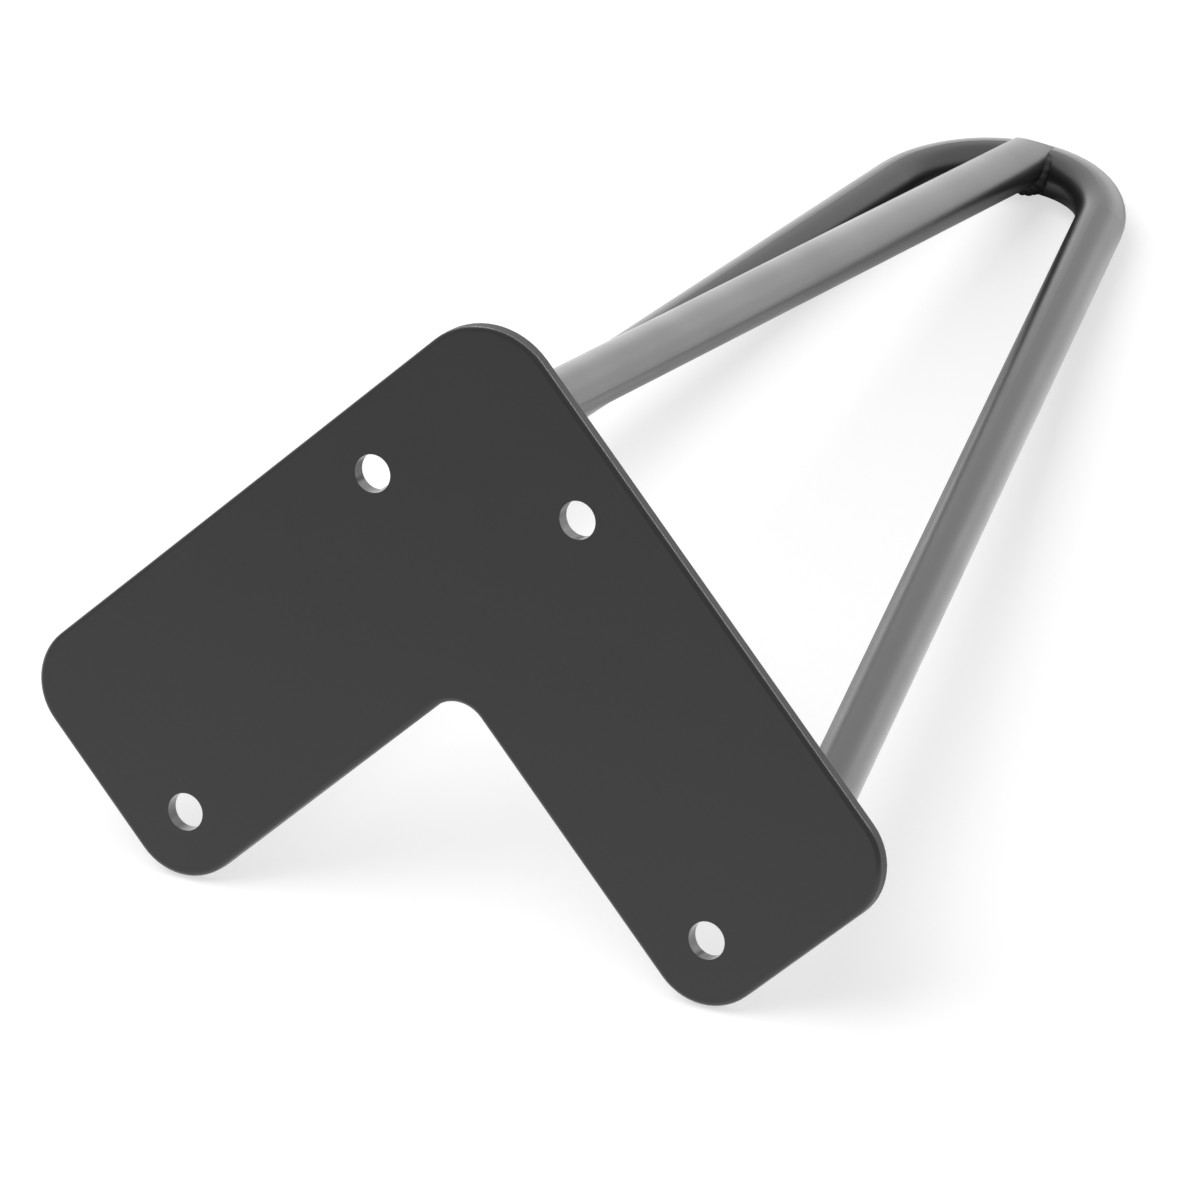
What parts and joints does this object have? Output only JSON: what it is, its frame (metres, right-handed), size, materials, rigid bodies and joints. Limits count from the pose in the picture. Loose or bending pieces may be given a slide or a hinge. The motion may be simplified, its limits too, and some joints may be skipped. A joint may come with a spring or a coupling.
{
  "type": "hairpin table leg",
  "caption": "Welded steel hairpin table leg: a bent round rod and a straight rod run down from an L-shaped screw plate to a rounded foot.",
  "frame": {"origin": "on the plate's mounting face, in the leg's plane of symmetry, right above the middle of the foot", "axes": "+Z out of the mounting face, up into the table top; +Y from the plate's outer corner towards its notch; +X towards one arm, square to the plane of symmetry"},
  "size_m": [0.1672, 0.1138, 0.25],
  "materials": {
    "black_powder_coat": "satin black powder coat on steel"
  },
  "bodies": {
    "root": {"mounting_plate": "black_powder_coat", "hairpin_rod": "black_powder_coat", "third_rod": "black_powder_coat", "hairpin_welds": "black_powder_coat", "third_rod_welds": "black_powder_coat"}
  },
  "joints": []
}
